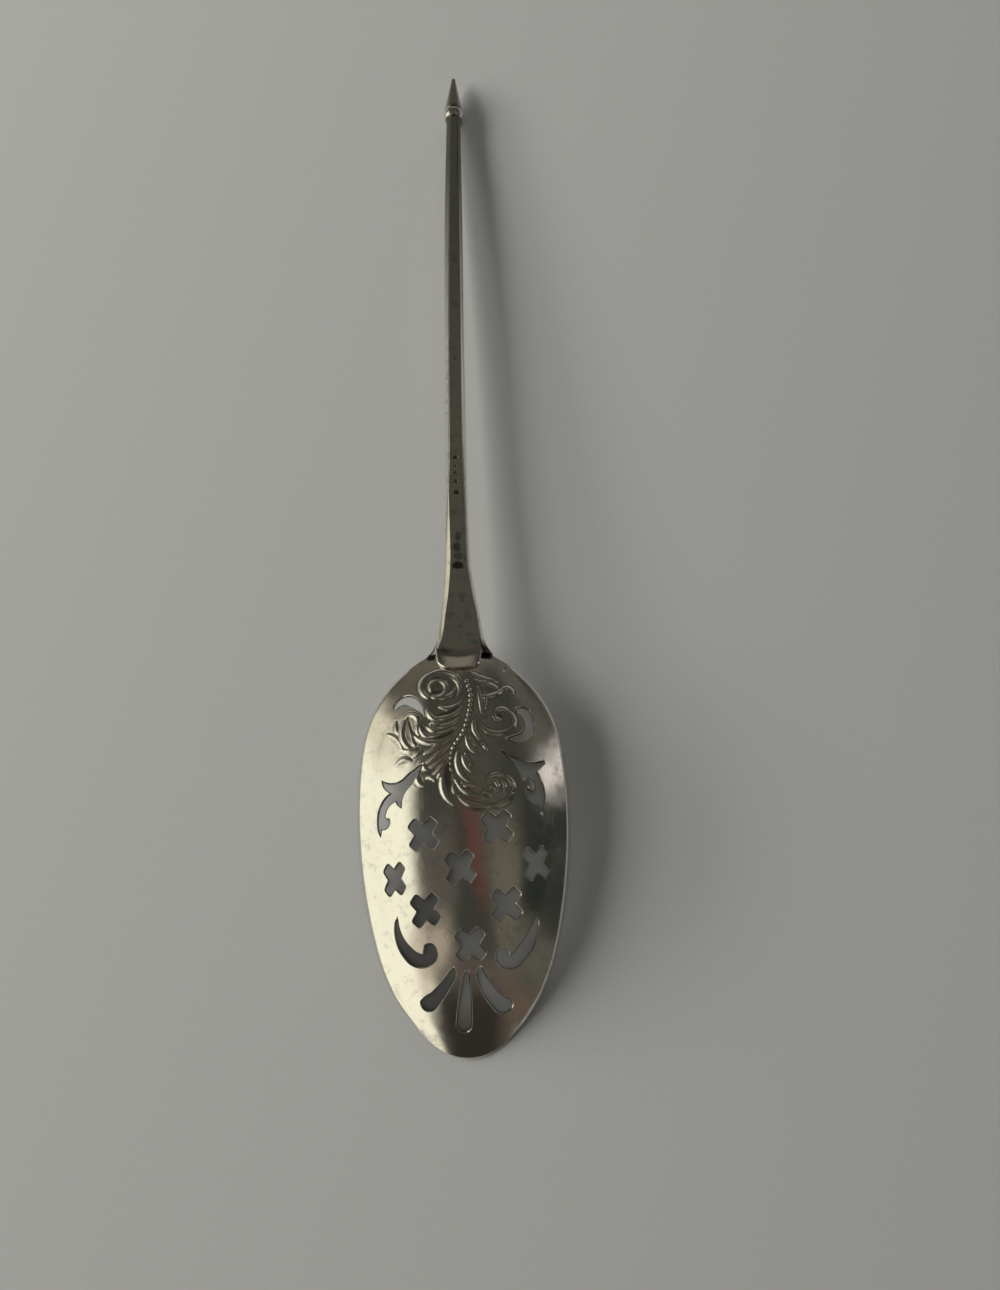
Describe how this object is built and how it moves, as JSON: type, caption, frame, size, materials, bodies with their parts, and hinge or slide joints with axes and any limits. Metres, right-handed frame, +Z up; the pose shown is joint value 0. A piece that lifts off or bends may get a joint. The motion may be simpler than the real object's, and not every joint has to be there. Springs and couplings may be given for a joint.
{
  "type": "mote spoon",
  "caption": "Silver mote spoon for skimming tea: an oval pierced bowl with a chased leaf on its back, and a long slender stem ending in a pointed finial.",
  "frame": {"origin": "under the middle of the spoon's length and width, on the surface that the spoon lies on face down", "axes": "+Y from the tip of the bowl to the point of the finial, +X to the right as seen from above, +Z up, out of the back of the bowl"},
  "size_m": [0.0252, 0.1354, 0.0087],
  "materials": {
    "silver": "polished silver with scratches and dark tarnish in the hollows"
  },
  "bodies": {
    "root": {"mote_spoon": "silver"}
  },
  "joints": []
}
